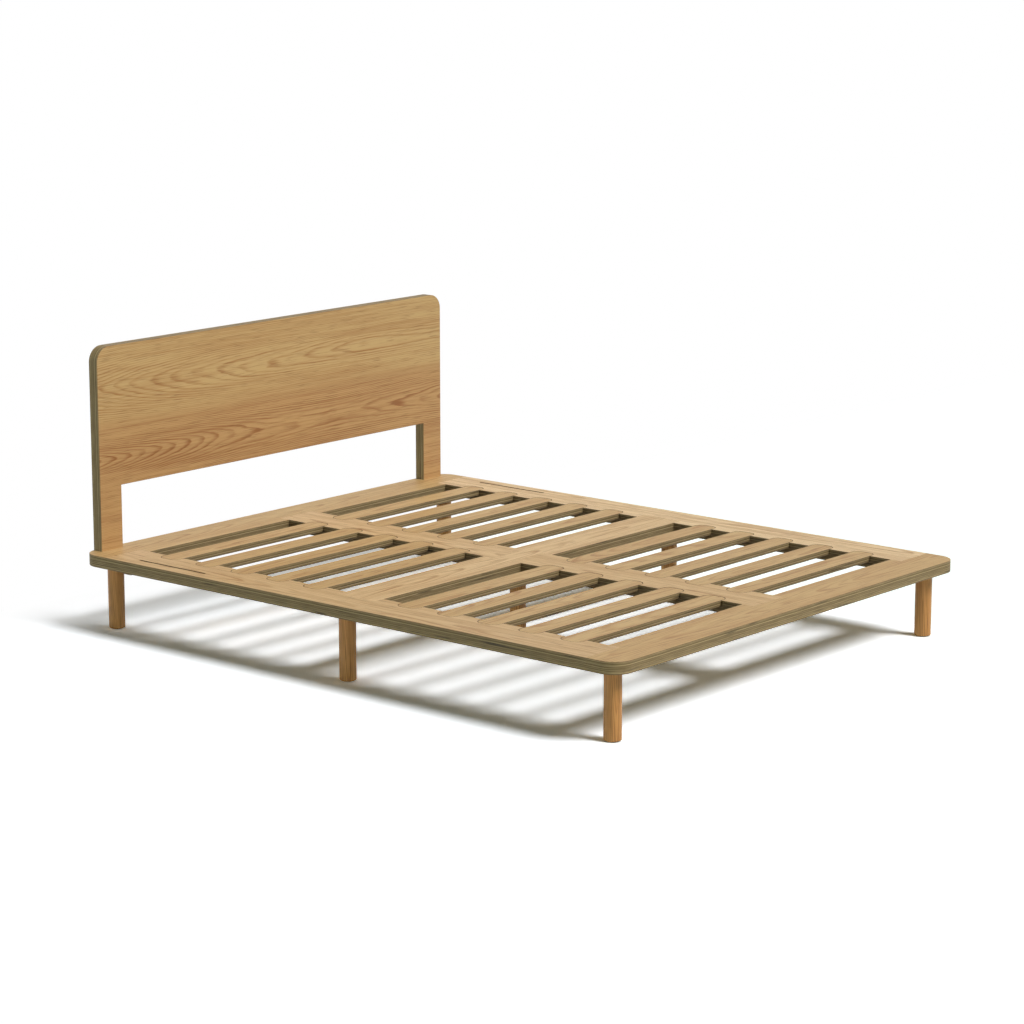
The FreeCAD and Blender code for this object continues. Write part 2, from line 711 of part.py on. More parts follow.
def glide():
    """A felt disc with a softened lower edge."""
    body = new_body("leg_glide_master")
    rod(body, "AdditiveCylinder", "disc", ("0", "0", "0"), "glide_diameter / 2", "glide_thickness")
    round_edges(body, "edge", "glide_edge_radius", level_at(0))
    return body


def leg_stud():
    """A stud with one end in the leg and the other in the deck."""
    body = new_body("leg_stud_master")
    base = ("0", "0", "-leg_stud_in_leg")
    length = "leg_stud_in_leg + leg_stud_in_deck"
    rod(body, "AdditiveCylinder", "stud", base, "leg_stud_diameter / 2", length)
    return body


leg_tops = [(*place, "deck_clearance") for place in leg_places.values()]
leg_feet = [(*place, "0") for place in leg_places.values()]
group("leg_studs", leg_stud(), leg_tops)
leg_insert = sleeve("leg_insert", "leg_insert_diameter", "leg_insert_length", "leg_stud_diameter")
group("leg_inserts", leg_insert, leg_tops)
group("leg_glides", glide(), leg_feet)

lap_places = []
for middle, direction in lap_joints:
    lap_places.extend(lap_bolt_places(middle, direction))
lap_bolt = countersunk(
    "lap_bolt",
    "lap_bolt_diameter",
    "lap_bolt_head_diameter",
    "lap_bolt_head_height",
    f"({LEDGE_THICKNESS} + lap_bolt_reach)",
)
group("lap_bolts", lap_bolt, [(*place, "deck_clearance") for place in lap_places])
lap_insert = sleeve("lap_insert", "lap_insert_diameter", "lap_insert_length", "lap_bolt_diameter")
group("lap_inserts", lap_insert, [(*place, LEDGE_TOP) for place in lap_places])

HEAD_SEAT = f"{HEADBOARD_BACK} - headboard_bolt_head_height"
places = [(x, HEAD_SEAT, DECK_MIDDLE) for x in headboard_bolt_places]
group("headboard_bolts", headboard_bolt(), places)
headboard_insert = sleeve(
    "headboard_insert",
    "headboard_insert_diameter",
    "headboard_insert_length",
    "headboard_bolt_diameter",
    BOLT_TURN,
)
INSERT_END = f"{HEADBOARD_FRONT} - headboard_insert_length"
places = [(x, INSERT_END, DECK_MIDDLE) for x in headboard_bolt_places]
group("headboard_inserts", headboard_insert, places)

stretcher_screw = countersunk(
    "stretcher_screw",
    "stretcher_screw_diameter",
    "stretcher_screw_head_diameter",
    "stretcher_screw_head_height",
    "(stretcher_thickness + stretcher_screw_bite)",
    "stretcher_screw_point",
)
places = [(*place, STRETCHER_BOTTOM) for place in stretcher_screw_places()]
group("stretcher_screws", stretcher_screw, places)

# Every object has to be sound before anything is written
doc.recompute()
for item in doc.Objects:
    if {"Invalid", "Error"} & set(item.State):
        raise RuntimeError(f"{item.Name} failed: {item.State}")
for item in sub_parts:
    if item.Shape.isNull() or not item.Shape.isValid() or not item.Shape.Solids:
        raise RuntimeError(f"{item.Label} has no valid shape")

os.makedirs("parts", exist_ok=True)
for item in sub_parts:
    item.Shape.exportStep(os.path.join("parts", f"{item.Label}.step"))
    print(f"{item.Label}: {len(item.Shape.Solids)} solid(s), {item.Shape.Volume:.0f} mm3")
print(f"{len(sub_parts)} sub-parts")
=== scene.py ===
# %% [markdown]
# # A platform bed, dressed over its CAD frame
#
# The bed is seven rails of oak-veneered plywood on round oak legs, with twenty loose slats and a
# panel headboard. CAD made the solids, and they stay exactly where they are. Blender adds what a
# solid lacks: the figure of the veneer, the plies along every cut edge, the metal and the felt.

# %% Load the frame
import math
import random
from collections import namedtuple
import bmesh
import bpy
from mathutils import Euler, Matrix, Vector


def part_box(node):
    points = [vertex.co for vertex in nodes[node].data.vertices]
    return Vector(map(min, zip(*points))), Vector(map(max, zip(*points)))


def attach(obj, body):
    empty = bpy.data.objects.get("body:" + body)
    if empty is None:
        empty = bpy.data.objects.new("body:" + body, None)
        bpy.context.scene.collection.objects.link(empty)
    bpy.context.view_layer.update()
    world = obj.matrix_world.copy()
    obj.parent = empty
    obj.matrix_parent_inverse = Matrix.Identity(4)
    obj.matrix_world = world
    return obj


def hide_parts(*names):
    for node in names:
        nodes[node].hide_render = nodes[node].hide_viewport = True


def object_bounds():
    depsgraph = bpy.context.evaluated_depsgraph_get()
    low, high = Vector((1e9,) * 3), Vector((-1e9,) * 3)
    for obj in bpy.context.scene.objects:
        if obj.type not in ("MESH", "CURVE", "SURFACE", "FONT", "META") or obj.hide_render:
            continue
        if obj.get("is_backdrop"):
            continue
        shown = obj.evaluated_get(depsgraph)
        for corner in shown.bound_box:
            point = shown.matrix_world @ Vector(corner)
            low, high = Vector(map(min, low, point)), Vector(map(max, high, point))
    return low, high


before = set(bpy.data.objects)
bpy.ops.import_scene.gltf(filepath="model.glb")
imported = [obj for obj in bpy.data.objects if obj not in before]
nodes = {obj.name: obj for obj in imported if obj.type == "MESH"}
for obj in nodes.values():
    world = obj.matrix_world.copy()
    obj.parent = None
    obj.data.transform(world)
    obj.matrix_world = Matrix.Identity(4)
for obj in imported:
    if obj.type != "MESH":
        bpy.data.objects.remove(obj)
cad_low, cad_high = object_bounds()

# %% [markdown]
# ## Camera
#
# The bed is seen from its foot, on the left, from a little above the deck. A long lens far away
# keeps the lines of the deck almost parallel, as in a catalogue. A wide lens close by would show
# the same pieces, but the near leg would look far longer than the far one.

# %% Camera on the foot's left side
CAMERA_PLACE = (-7.033, -5.921, 2.298)
CAMERA_PITCH = math.radians(90 - 11.844)
CAMERA_HEADING = math.radians(-49.795)
LENS_MM = 109.8
SENSOR_MM = 36

camera = bpy.data.objects.new("camera", bpy.data.cameras.new("camera"))
camera.location = CAMERA_PLACE
camera.rotation_euler = Euler((CAMERA_PITCH, 0, CAMERA_HEADING))
camera.data.lens = LENS_MM
camera.data.sensor_width = SENSOR_MM
bpy.context.scene.collection.objects.link(camera)
bpy.context.scene.camera = camera
print("camera looks from", CAMERA_PLACE, "with a lens of", LENS_MM, "mm")

# %% [markdown]
# ## Helpers
#
# Colours are written as sRGB hex, the way a paint chart or a picture editor gives them. Blender's
# sockets hold linear light, so one function turns the one into the other. Every node of every
# tree, for materials and for geometry alike, is added by one small function. It takes a value, a
# socket or a whole node as an input, so that a pattern can be read from the inside out.

# %% Colour and node helpers
MM = 0.001
MATHS, VECTORS, RANGE = "ShaderNodeMath", "ShaderNodeVectorMath", "ShaderNodeMapRange"
MIX, NOISE, SPLIT = "ShaderNodeMix", "ShaderNodeTexNoise", "ShaderNodeSeparateXYZ"
SMOOTH = {"interpolation_type": "SMOOTHSTEP"}
COLOURS = {"data_type": "RGBA"}
WHITE = (1.0, 1.0, 1.0, 1.0)


def linear(hex_colour):
    """An sRGB hex colour as linear RGBA."""
    channels = [int(hex_colour[start:start + 2], 16) / 255 for start in (1, 3, 5)]
    rgb = [c / 12.92 if c <= 0.04045 else ((c + 0.055) / 1.055) ** 2.4 for c in channels]
    return (*rgb, 1.0)


def add(tree, kind, inputs=None, **settings):
    """Add one node with its settings, and set or link its inputs.

    An input is a value, a socket, a node, which stands for its first output in use, or a list.
    """
    node = tree.nodes.new(kind)
    for name, setting in settings.items():
        setattr(node, name, setting)
    for place, given in (inputs or {}).items():
        in_use = [socket for socket in node.inputs if socket.enabled and socket.name == place]
        target = in_use[0] if in_use else node.inputs[place]
        for source in given if isinstance(given, list) else [given]:
            if isinstance(source, bpy.types.Node):
                source = next(socket for socket in source.outputs if socket.enabled)
            if isinstance(source, bpy.types.NodeSocket):
                tree.links.new(source, target)
            else:
                target.default_value = source
    return node


def start_material(name):
    """A new material with an empty node tree."""
    material = bpy.data.materials.new(name)
    material.use_nodes = True
    material.node_tree.nodes.clear()
    return material, material.node_tree


print("oak reads as", [round(c, 3) for c in linear("#C9A272")])

# %% [markdown]
# ## Oak figure
#
# A veneer leaf is sliced from a log, so its figure is a cut through the log's growth rings. A wave
# texture would give stripes of one width, and a picture of oak would repeat. Here the rings are
# worked out: the distance from the log's middle, bent by noise and counted in ring widths. Where
# the cut runs almost along a ring, the rings open into pointed arches, as crown-cut oak shows.
#
# The group's inputs are two places, in metres, with X along the grain and Y and Z across it. Log is
# the place among the rings. Grain is the place among the fibres, which run straight along the piece
# even where the knife or the saw crossed the rings. Each material then only has to say which part
# of the log its piece was cut from.

# %% Rings, fibres and pores
# Rings are drawn about twice as wide as oak grows, and fibres a few times as thick, so that both
# show in the render.
RING_WIDTH = 4.4 * MM
BEND_REACH = 26 * MM
WOBBLE_REACH = 5 * MM
# Length along the grain and width across it of each kind of streak, in millimetres
BENDS, WOBBLES, BLOTCHES = (700, 130), (150, 26), (260, 30)
BANDS, FIBRES, FLECKS, PORES = (800, 40), (190, 3.2), (800, 9), (70, 2.4)
PORE_CROWDING = 0.1
PORE = linear("#7A5029")


def grain_streaks(tree, place, streak, detail=2.0):
    """Noise drawn out along the grain, X, in streaks of a length and a width in millimetres."""
    along, across = (1 / (size * MM) for size in streak)
    drawn_out = add(tree, VECTORS, {0: place, 1: (along, across, across)}, operation="MULTIPLY")
    return add(tree, NOISE, {"Vector": drawn_out, "Scale": 1, "Detail": detail})


def log_rings(tree, log):
    """How many rings lie inside a place in the log, and how far that place is from its middle."""
    section = add(tree, VECTORS, {0: log, 1: (0, 1, 1)}, operation="MULTIPLY")
    radius = add(tree, VECTORS, {0: section}, operation="LENGTH")
    bends = grain_streaks(tree, log, BENDS, 1.0)
    bent = add(tree, MATHS, {0: bends, 1: BEND_REACH, 2: radius}, operation="MULTIPLY_ADD")
    wobbles = grain_streaks(tree, log, WOBBLES, 3.0)
    wavy = add(tree, MATHS, {0: wobbles, 1: WOBBLE_REACH, 2: bent}, operation="MULTIPLY_ADD")
    return add(tree, MATHS, {0: wavy, 1: RING_WIDTH}, operation="DIVIDE"), radius


def ring_lines(tree, log, strength):
    """The dark line of each ring, from 0 to strength."""
    rings, radius = log_rings(tree, log)
    # Each ring darkens slowly and ends sharply
    phase = add(tree, MATHS, {0: rings}, operation="FRACT")
    begins = add(tree, RANGE, {"Value": phase, "From Min": 0.35, "From Max": 0.85}, **SMOOTH)
    ends = add(tree, RANGE, {"Value": phase, "From Min": 0.82, "To Min": 1, "To Max": 0}, **SMOOTH)
    # Some rings are stronger than others
    number = add(tree, MATHS, {0: rings}, operation="FLOOR")
    chance = add(tree, "ShaderNodeTexWhiteNoise", {"W": number}, noise_dimensions="1D")
    vigour = add(tree, RANGE, {"Value": chance, "To Min": 0.5})
    # They are plain in the crown of the cut, and faint at its sides, where they crowd together
    height = add(tree, SPLIT, {0: log}).outputs["Z"]
    slope = add(tree, MATHS, {0: height, 1: radius}, operation="DIVIDE")
    crown = add(tree, MATHS, {0: slope}, operation="ABSOLUTE")
    fade = add(tree, RANGE, {
        "Value": crown, "From Min": 0.25, "From Max": 0.85, "To Min": 0.45,
    }, **SMOOTH)
    patchy = add(tree, RANGE, {
        "Value": grain_streaks(tree, log, BLOTCHES), "From Min": 0.3, "From Max": 0.6, "To Min": 0.5,
    }, **SMOOTH)
    lines = strength
    for share in (begins, ends, vigour, fade, patchy):
        lines = add(tree, MATHS, {0: lines, 1: share}, operation="MULTIPLY")
    return lines


def make_oak_figure():
    """The node group that turns a place in a log into oak's colour and surface height."""
    tree = bpy.data.node_groups.new("oak_figure", "ShaderNodeTree")
    sockets = (
        ("Log", "Vector"), ("Grain", "Vector"), ("Arch Strength", "Float"), ("Pale", "Color"),
        ("Dark", "Color"),
    )
    for name, kind in sockets:
        tree.interface.new_socket(name=name, in_out="INPUT", socket_type=f"NodeSocket{kind}")
    for name, kind in (("Colour", "Color"), ("Height", "Float")):
        tree.interface.new_socket(name=name, in_out="OUTPUT", socket_type=f"NodeSocket{kind}")
    given = add(tree, "NodeGroupInput").outputs
    grain = given["Grain"]
    arches = ring_lines(tree, given["Log"], given["Arch Strength"])

    # Broad bands, fibres and flecks add to the same darkness, so the colours stay in one family. A row
    # holds a noise, its values where the layer starts and ends, and the least and greatest effect
    fibres = grain_streaks(tree, grain, FIBRES)
    layers = (
        (grain_streaks(tree, grain, BANDS), 0.3, 0.7, -0.08, 0.22),
        (fibres, 0.3, 0.7, -0.14, 0.2),
        (grain_streaks(tree, grain, FLECKS), 0.48, 0.72, 0.0, 0.27),
    )
    darkness = arches
    for noise, start, end, least, most in layers:
        layer = add(tree, RANGE, {
            "Value": noise, "From Min": start, "From Max": end, "To Min": least, "To Max": most,
        }, **SMOOTH)
        darkness = add(tree, MATHS, {0: darkness, 1: layer}, operation="ADD")
    darkness = add(tree, "ShaderNodeClamp", {"Value": darkness})
    wood = add(tree, MIX, {"Factor": darkness, "A": given["Pale"], "B": given["Dark"]}, **COLOURS)

    # Open pores: short dark dashes, which crowd where a ring ends
    dashes = grain_streaks(tree, grain, PORES, 1.0)
    dashes = add(tree, MATHS, {0: arches, 1: PORE_CROWDING, 2: dashes}, operation="MULTIPLY_ADD")
    pores = add(tree, RANGE, {
        "Value": dashes, "From Min": 0.58, "From Max": 0.74, "To Max": 0.55,
    }, **SMOOTH)
    add(tree, "NodeGroupOutput", {
        "Colour": add(tree, MIX, {"Factor": pores, "A": wood, "B": PORE}, **COLOURS),
        "Height": add(tree, MATHS, {0: fibres, 1: pores}, operation="SUBTRACT"),
    })
    return tree


oak_figure = make_oak_figure()
print("oak figure:", len(oak_figure.nodes), "nodes, rings", round(RING_WIDTH / MM, 1), "mm wide")

# %% [markdown]
# ## Plies
#
# The board is a stack of thin birch plies, each turned a quarter against the next, with dark glue
# between them. A striped ramp across the edge would draw them, but every edge would look the same.
# Here the plies are counted from the shown face. One that is cut across its grain drinks more
# lacquer and looks darker. How far each is cut across follows from the surface's normal, so the
# stripes swap over at a rounded corner, as they do on the real board.

# %% The cut edge of plywood
# Plies are drawn at almost twice their 1.5 mm, and the glue between them at several times its
# thickness, because they would blur to one tone in the render.
PLY = 2.6 * MM
PLY_WANDER = 0.8
SAW_STREAK_LENGTH, SAW_STREAK_WIDTH = 55 * MM, 1.5 * MM
END_GRAIN_WEIGHT, STREAK_WEIGHT = 0.5, 1.9
PLY_LONG = linear("#B39D70")
PLY_END = linear("#725D3A")
PLY_GLUE = linear("#4E402A")
PLY_VOID = linear("#2E2416")


def ply_edge(tree, place, facing, axes, faces):
    """The colour and height of a cut edge. facing is how squarely it faces each axis, 0 to 1."""
    along, across, through = axes
    shown, other = faces
    split = add(tree, SPLIT, {0: place}).outputs

    # Saw streaks run along the edge, and bend the plies a little
    stretch = [1 / SAW_STREAK_LENGTH] * 3
    stretch["XYZ".index(through)] = 1 / SAW_STREAK_WIDTH
    stretched = add(tree, VECTORS, {0: place, 1: tuple(stretch)}, operation="MULTIPLY")
    streak = add(tree, NOISE, {"Vector": stretched, "Scale": 1, "Detail": 3})
    broad = add(tree, NOISE, {"Vector": stretched, "Scale": 0.3, "Detail": 1})

    # Each ply has a tone of its own, darker where it is cut across its grain
    level = add(tree, RANGE, {
        "Value": split[through], "From Min": shown, "From Max": other,
        "To Max": round(abs(other - shown) / PLY),
    }, clamp=False)
    level = add(tree, MATHS, {0: broad, 1: PLY_WANDER, 2: level}, operation="MULTIPLY_ADD")
    number = add(tree, MATHS, {0: level}, operation="FLOOR")
    odd = add(tree, MATHS, {0: number, 1: 2}, operation="FLOORED_MODULO")
    end_grain = add(tree, MIX, {"Factor": odd, "A": facing[along], "B": facing[across]})
    tone = add(tree, "ShaderNodeTexWhiteNoise", {"W": number}, noise_dimensions="1D")
    for layer, weight in ((end_grain, END_GRAIN_WEIGHT), (streak, STREAK_WEIGHT)):
        tone = add(tree, MATHS, {0: layer, 1: weight, 2: tone}, operation="MULTIPLY_ADD")
    tone = add(tree, RANGE, {"Value": tone, "From Min": 0.7, "From Max": 2.4}, **SMOOTH)
    ply = add(tree, MIX, {"Factor": tone, "A": PLY_LONG, "B": PLY_END}, **COLOURS)

    # Glue lines between the plies, and a gap in a core ply here and there
    from_glue = add(tree, MATHS, {0: level, 1: 0.5}, operation="PINGPONG")
    glue = add(tree, RANGE, {
        "Value": from_glue, "From Min": 0.2, "From Max": 0.04, "To Max": 0.7,
    }, **SMOOTH)
    glued = add(tree, MIX, {"Factor": glue, "A": ply, "B": PLY_GLUE}, **COLOURS)
    void = add(tree, RANGE, {
        "Value": broad, "From Min": 0.67, "From Max": 0.74, "To Max": 0.85,
    }, **SMOOTH)
    edge = add(tree, MIX, {"Factor": void, "A": glued, "B": PLY_VOID}, **COLOURS)
    return edge, add(tree, MATHS, {0: streak, 1: glue}, operation="SUBTRACT")


print("plies:", round(PLY / MM, 1), "mm each")

# %% [markdown]
# ## Oak-veneered plywood
#
# A leaf of oak lies on both faces of the board, under a matt lacquer. Painting the faces and the
# edges apart would need a seam at each arris. Here the material knows how deep under a face a point
# lies: the first millimetre or so is oak and the rest is plies, so edges, pockets and holes all come
# out right.

# %% Veneer over plies
# The veneer is drawn at about twice its thickness, so that it shows along an edge.
VENEER = 1.6 * MM
JOINT_FADE = 30 * MM
# The veneer's cut edge is darker than its face, and drawn darker still as painted shade, for where the
# edge lies inside a slot.
VENEER_CUT_AND_SHADE = linear("#5E4222")
OAK_PALE = linear("#C7A671")
OAK_DARK = linear("#A2723C")
LACQUER_IOR = 1.48
FACE_ROUGHNESS, EDGE_ROUGHNESS = 0.55, 0.65
WOOD_BUMP = {"Strength": 0.25, "Distance": 0.25 * MM}
Leaf = namedtuple(
    "Leaf", "middle depth slant bow strength pale dark", defaults=(OAK_PALE, OAK_DARK),
)


def veneer_leaf(tree, place, axes, face, leaf):
    """The figure of one leaf on a face.

    The leaf's middle is where its arches lie across the grain, and its depth how far the log's
    middle lies behind the face. slant and bow say how the log leans and bends along the grain.
    """
    along, across, through = axes
    split = add(tree, SPLIT, {0: place}).outputs
    square = add(tree, MATHS, {0: split[along], 1: split[along]}, operation="MULTIPLY")
    bowed = add(tree, MATHS, {0: square, 1: leaf.bow, 2: split[through]}, operation="MULTIPLY_ADD")
    turned = add(tree, "ShaderNodeCombineXYZ", {0: split[along], 1: split[across], 2: bowed})
    from_middle = (0, -leaf.middle, leaf.depth - face)
    log = add(tree, "ShaderNodeMapping", {
        "Vector": turned, "Location": from_middle, "Rotation": (0, leaf.slant, 0),
    })
    straight = add(tree, "ShaderNodeCombineXYZ", {
        0: split[along], 1: split[across], 2: split[through],
    })
    grain = add(tree, VECTORS, {0: straight, 1: from_middle}, operation="ADD")
    return add(tree, "ShaderNodeGroup", {
        "Log": log, "Grain": grain, "Arch Strength": leaf.strength,
        "Pale": leaf.pale, "Dark": leaf.dark,
    }, node_tree=oak_figure).outputs


# Lacquered oak veneer on birch plywood. The eye gets a satin face with a soft wide highlight, pores
# that break it up along the grain, and duller, striped edges.
def veneered_ply(name, axes, faces, leaves, joint=None, shifted=False, edge_tone_and_shade=VENEER_CUT_AND_SHADE):
    """Plywood whose grain, width and thickness run along the three axes.

    faces are the shown face's place along the thickness and the other face's. joint is where the
    second of two leaves begins. shifted moves the log by the mesh's own log_shift. The last argument
    is the colour of the veneer's own edge, darker than the face, and darkened as painted shade for
    the gaps and slots that the edge lies in.
    """
    across, through = axes[1:]
    shown, other = faces
    material, tree = start_material(name)
    texture = add(tree, "ShaderNodeTexCoord").outputs
    place = in_log = texture["Object"]
    split = add(tree, SPLIT, {0: place}).outputs

    # Face veneer, of one leaf or of two side by side
    if shifted:
        shift = add(tree, "ShaderNodeAttribute", attribute_name="log_shift").outputs["Vector"]
        in_log = add(tree, VECTORS, {0: place, 1: shift}, operation="ADD")
    leaf = veneer_leaf(tree, in_log, axes, shown, leaves[0])
    oak, oak_height = leaf["Colour"], leaf["Height"]
    if joint is not None:
        second = veneer_leaf(tree, in_log, axes, shown, leaves[1])
        past = add(tree, RANGE, {
            "Value": split[across], "From Min": joint - JOINT_FADE, "From Max": joint + JOINT_FADE,
        }, **SMOOTH)
        oak = add(tree, MIX, {"Factor": past, "A": oak, "B": second["Colour"]}, **COLOURS)
        oak_height = add(tree, MIX, {"Factor": past, "A": oak_height, "B": second["Height"]})

    # 1 where the surface faces along an axis, 0 where it runs along it
    squared = add(tree, VECTORS, {0: texture["Normal"], 1: texture["Normal"]}, operation="MULTIPLY")
    facing = add(tree, SPLIT, {0: squared}).outputs
    # Where the surface turns from the face, the veneer takes the edge colour: the cut's own darker
    # tone, with painted shade of the gap or slot in it
    steep = add(tree, RANGE, {
        "Value": facing[through], "From Min": 0.95, "From Max": 0.5, "To Max": 0.9,
    }, **SMOOTH)
    veneer = add(tree, MIX, {"Factor": steep, "A": oak, "B": edge_tone_and_shade}, **COLOURS)
    edge, edge_height = ply_edge(tree, place, facing, axes, faces)

    # The outermost layer is veneer, and everything under it is plies
    below = add(tree, MATHS, {0: split[through], 1: shown}, operation="SUBTRACT")
    below = add(tree, MATHS, {0: below}, operation="ABSOLUTE")
    depth = add(tree, MATHS, {0: below, 1: abs(other - shown) / 2}, operation="PINGPONG")
    inside = add(tree, RANGE, {
        "Value": depth, "From Min": VENEER * 0.8, "From Max": VENEER,
    }, **SMOOTH)
    height = add(tree, MIX, {"Factor": inside, "A": oak_height, "B": edge_height})
    shader = add(tree, "ShaderNodeBsdfPrincipled", {
        "Base Color": add(tree, MIX, {"Factor": inside, "A": veneer, "B": edge}, **COLOURS),
        "Roughness": add(tree, RANGE, {
            "Value": inside, "To Min": FACE_ROUGHNESS, "To Max": EDGE_ROUGHNESS,
        }),
        "Normal": add(tree, "ShaderNodeBump", {**WOOD_BUMP, "Height": height}),
        "IOR": LACQUER_IOR,
    })
    add(tree, "ShaderNodeOutputMaterial", {"Surface": shader})
    return material


def dress(node, material):
    """Give a CAD node its one material."""
    nodes[node].data.materials.clear()
    nodes[node].data.materials.append(material)


print("veneer:", round(VENEER / MM, 1), "mm, joints fade over", round(2 * JOINT_FADE / MM), "mm")

# %% [markdown]
# ## Rails
#
# The head, foot and mid rails have their grain across the bed, and the side and centre rails along
# it. All seven could share one material, but then the figure would run on from one rail into the
# next. Each rail was cut from another place in the sheet, so each gets a leaf of its own, a
# little paler or darker than the next.

# %% Dress the rails
leaf_choice = random.Random(11)
deck_low, deck_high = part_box("mid_rail")
deck_faces = (deck_high.z, deck_low.z)
RAIL_TONES = {
    "foot_rail": "#C5A36D", "mid_rail": "#DBBB8A", "head_rail": "#C9A873",
    "left_side_rail": "#D2B282", "right_side_rail": "#E9CB9C",
    "centre_rail_foot": "#D2B17F", "centre_rail_head": "#D6B584",
}
rails = {
    "XYZ": ("foot_rail", "mid_rail", "head_rail"),
    "YXZ": ("left_side_rail", "right_side_rail", "centre_rail_foot", "centre_rail_head"),
}
for axes, names in rails.items():
    for name in names:
        low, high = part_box(name)
        rail_middle = (low + high)["XYZ".index(axes[1])] / 2
        leaf = Leaf(
            middle=rail_middle + leaf_choice.uniform(-40, 40) * MM,
            depth=leaf_choice.uniform(40, 90) * MM,
            slant=math.radians(leaf_choice.uniform(-2, 2)),
            bow=leaf_choice.uniform(-0.02, 0.02),
            strength=0.7,
            pale=linear(RAIL_TONES[name]),
        )
        dress(name, veneered_ply(f"oak_ply_{name}", axes, deck_faces, [leaf]))
        print(name, "has its arches round", round(leaf.middle, 3))

# %% [markdown]
# ## Headboard and stretcher
#
# The headboard is the bed's show face. Its panel carries two crown-cut leaves, one above the other.
# The upper one's arches point to the bed's left side. The lower one is redder, and its log bent the
# other way, so its arches close into long eyes at both sides. The stretcher is a batten of the same
# board under the head rail, so it takes the same finish.

# %% Dress the headboard and the stretcher
board_low, board_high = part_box("headboard")
# The panel alone, without the two legs that its box takes in
PANEL_HEIGHT = 431 * MM
UPPER_ARCHES_SHARE, JOINT_SHARE, LOWER_ARCHES_SHARE = 0.31, 0.55, 0.8
upper_leaf = Leaf(
    middle=board_high.z - UPPER_ARCHES_SHARE * PANEL_HEIGHT, depth=62 * MM,
    slant=math.radians(1.9), bow=0.026, strength=0.85,
    pale=linear("#BC9B68"), dark=linear("#9B6B3A"),
)
lower_leaf = Leaf(
    middle=board_high.z - LOWER_ARCHES_SHARE * PANEL_HEIGHT, depth=75 * MM,
    slant=math.radians(-1.3), bow=-0.05, strength=1.0,
    pale=linear("#B58D5B"), dark=linear("#8C582E"),
)
dress("headboard", veneered_ply(
    "oak_ply_headboard", "XZY", (board_low.y, board_high.y), [lower_leaf, upper_leaf],
    joint=board_high.z - JOINT_SHARE * PANEL_HEIGHT,
))
batten_low, batten_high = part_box("head_stretcher")
batten_leaf = Leaf(
    middle=batten_low.y, depth=80 * MM, slant=math.radians(1), bow=0.01, strength=0.6,
)
dress("head_stretcher", veneered_ply(
    "oak_ply_stretcher", "XYZ", (batten_low.z, batten_high.z), [batten_leaf],
))
print("headboard:", round(board_high.x - board_low.x, 3), "m wide")

# %% [markdown]
# ## Legs
#
# The legs are turned from solid oak, so the rings run up each leg and the foot shows end grain. A
# leg is round and its rings are not centred on it, which draws a tall arch on one side and close
# straight lines on the other. One material with another part of the log for each leg does this.

# %% Dress the legs
LEG_PALE = linear("#CA9151")
LEG_DARK = linear("#90582B")
LEG_ARCH_STRENGTH = 0.8
LEG_SLANT = math.radians(2)


# Oiled solid oak, sanded on the lathe. The eye gets a warmer tone than the veneer's, and a narrow
# soft highlight down the round side.
def turned_oak(name, middle, pith):
    """Solid oak with its grain upright. pith is how far the leg's middle lies from the log's."""
    material, tree = start_material(name)
    place = add(tree, "ShaderNodeTexCoord").outputs["Object"]
    split = add(tree, SPLIT, {0: place}).outputs
    upright = add(tree, "ShaderNodeCombineXYZ", {0: split["Z"], 1: split["X"], 2: split["Y"]})
    log = add(tree, "ShaderNodeMapping", {
        "Vector": upright,
        "Location": (pith[0], pith[0] - middle.x, pith[1] - middle.y),
        "Rotation": (0, LEG_SLANT, 0),
    })
    figure = add(tree, "ShaderNodeGroup", {
        "Log": log, "Grain": log, "Arch Strength": LEG_ARCH_STRENGTH,
        "Pale": LEG_PALE, "Dark": LEG_DARK,
    }, node_tree=oak_figure).outputs
    shader = add(tree, "ShaderNodeBsdfPrincipled", {
        "Base Color": figure["Colour"],
        "Roughness": add(tree, RANGE, {"Value": figure["Height"], "To Min": 0.55, "To Max": 0.42}),
        "Normal": add(tree, "ShaderNodeBump", {**WOOD_BUMP, "Height": figure["Height"]}),
        "IOR": LACQUER_IOR,
    })
    add(tree, "ShaderNodeOutputMaterial", {"Surface": shader})
    return material


legs = sorted(name for name in nodes if name.startswith("leg_") and not name.endswith("s"))
for name in legs:
    low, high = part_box(name)
    pith = (leaf_choice.uniform(10, 30) * MM, leaf_choice.uniform(10, 40) * MM)
    dress(name, turned_oak(f"turned_{name}", (low + high) / 2, pith))
print("legs:", legs)

# %% [markdown]
# ## Metal and felt
#
# The bolts and screws are zinc-plated steel, the threaded inserts turned brass, and the glides under
# the legs pressed felt. Few of them show, but more do when the bed is taken apart, so none is
# left as one flat colour.

# %% Zinc and brass
TARNISH = linear("#6E6A62")


# Zinc-plated steel and turned brass. The eye gets a bright metal whose gloss comes and goes in
# faint clouds, from the plating bath or from handling.
def bright_metal(name, hex_colour, cloud_mm, rough_low, rough_high):
    """A plated or turned metal, with clouds of the given size."""
    material, tree = start_material(name)
    place = add(tree, "ShaderNodeTexCoord").outputs["Object"]
    clouds = add(tree, NOISE, {"Vector": place, "Scale": 1 / (cloud_mm * MM), "Detail": 3})
    cloudy = {"Value": clouds, "From Min": 0.3, "From Max": 0.7}
    shader = add(tree, "ShaderNodeBsdfPrincipled", {
        "Base Color": add(tree, MIX, {
            "Factor": add(tree, RANGE, {**cloudy, "To Max": 0.3}),
            "A": linear(hex_colour), "B": TARNISH,
        }, **COLOURS),
        "Roughness": add(tree, RANGE, {**cloudy, "To Min": rough_low, "To Max": rough_high}),
        "Metallic": 1.0,
    })
    add(tree, "ShaderNodeOutputMaterial", {"Surface": shader})
    return material


